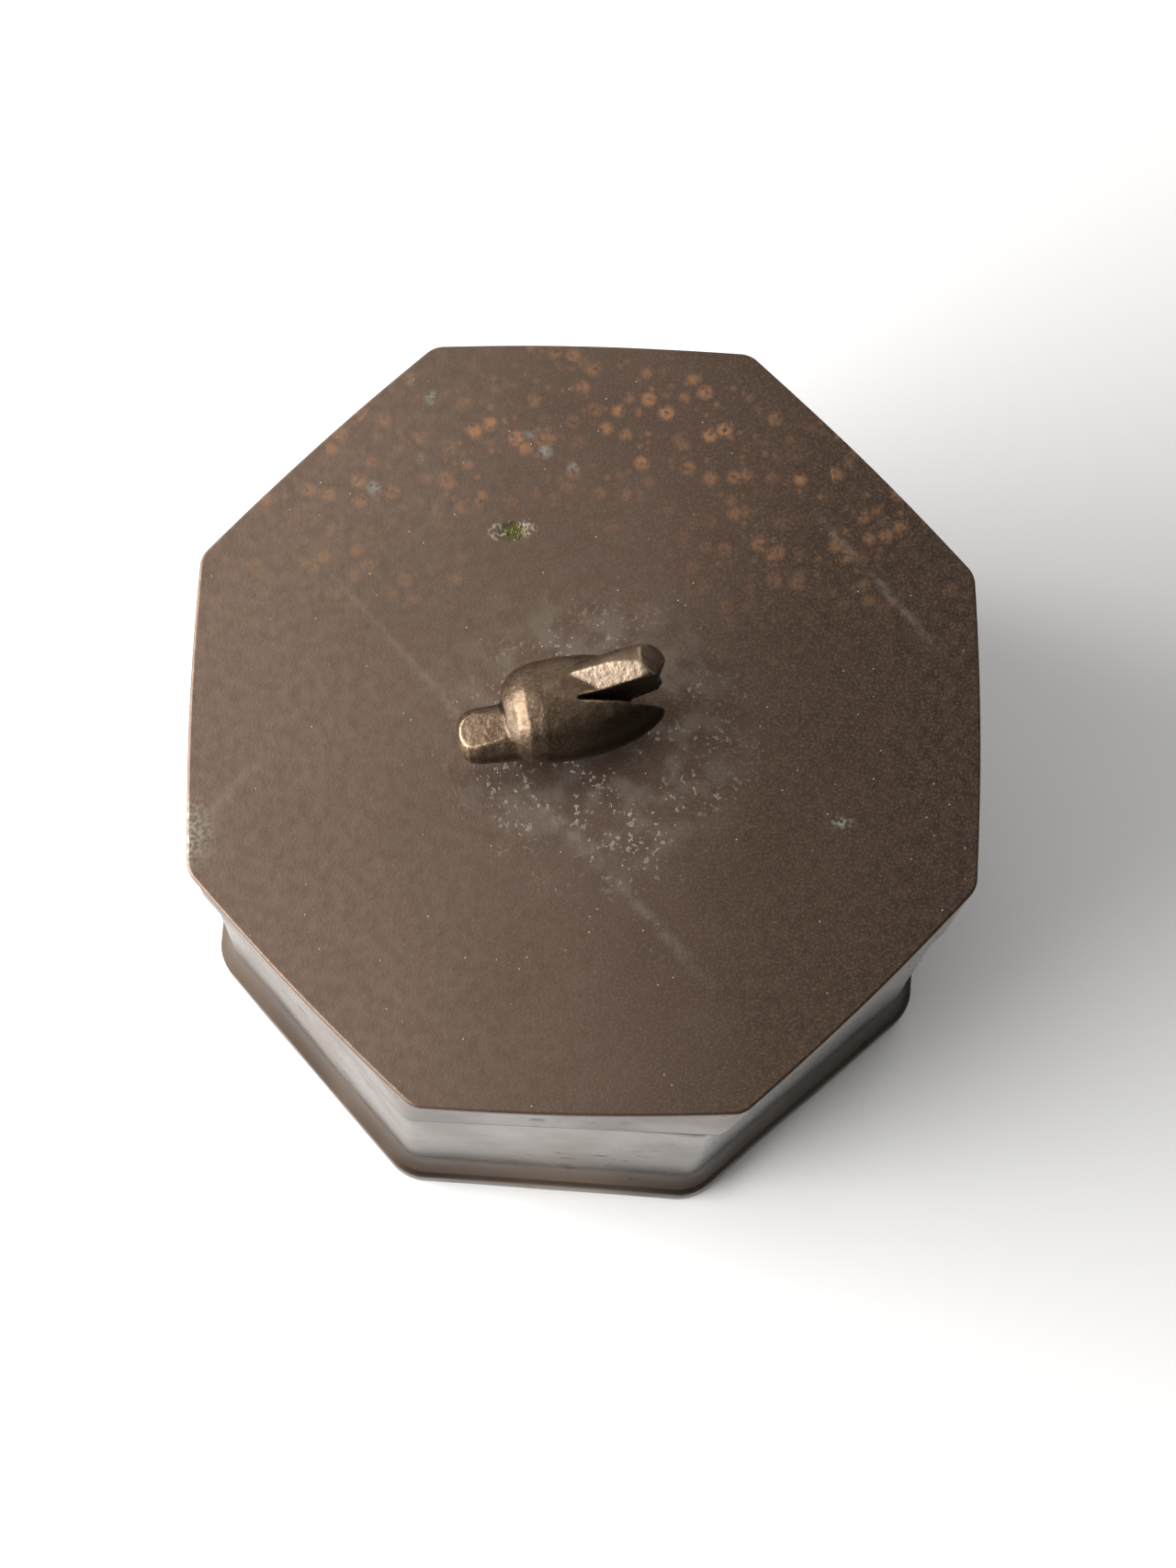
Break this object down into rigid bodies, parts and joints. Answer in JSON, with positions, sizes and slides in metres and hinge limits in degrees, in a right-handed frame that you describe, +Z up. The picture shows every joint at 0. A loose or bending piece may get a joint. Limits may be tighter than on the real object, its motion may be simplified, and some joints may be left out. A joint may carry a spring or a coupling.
{
  "type": "inkwell",
  "caption": "Octagonal bronze inkwell with a flared foot, a lift-off flat lid with a cast twig-shaped knob, and a round glass well inside.",
  "frame": {"origin": "centre of the underside of the foot, on the surface that the inkwell stands on", "axes": "+Z up out of the lid, +X and +Y square to two of the case's eight sides, -Y towards the side that the picture shows in front"},
  "size_m": [0.0816, 0.0816, 0.0778],
  "materials": {
    "bronze_lid": "dark brown patina, matte, freckled",
    "bronze_case": "dark brown patina, rubbed to a soft shine",
    "bronze_inside": "dull brown, unpolished",
    "cast_bronze": "grainy casting, filed and worn on its edges",
    "old_brass": "dull old brass",
    "well_glass": "clear, slightly green"
  },
  "bodies": {
    "case": {"foot_moulding": "bronze_case", "base_plate": "bronze_case", "case_wall": "bronze_case", "rim_strip": "bronze_inside", "well_deck": "bronze_inside", "well_collar": "bronze_inside"},
    "glass": {"glass_well": "well_glass"},
    "lid": {"lid_plate": "bronze_lid", "lid_skirt": "bronze_case", "knob": "cast_bronze", "knob_stud": "old_brass", "knob_washer": "old_brass", "knob_nut": "old_brass"}
  },
  "joints": [
    {"name": "lid_lift", "type": "slide", "parent": "case", "child": "lid", "axis": [0, 0, 1], "range_m": [0, 0.1]},
    {"name": "glass_lift", "type": "slide", "parent": "case", "child": "glass", "axis": [0, 0, 1], "range_m": [0, 0.05]}
  ],
  "couplings": [
    {"joint": "glass_lift", "follows": "lid_lift", "ratio": 0.5}
  ]
}
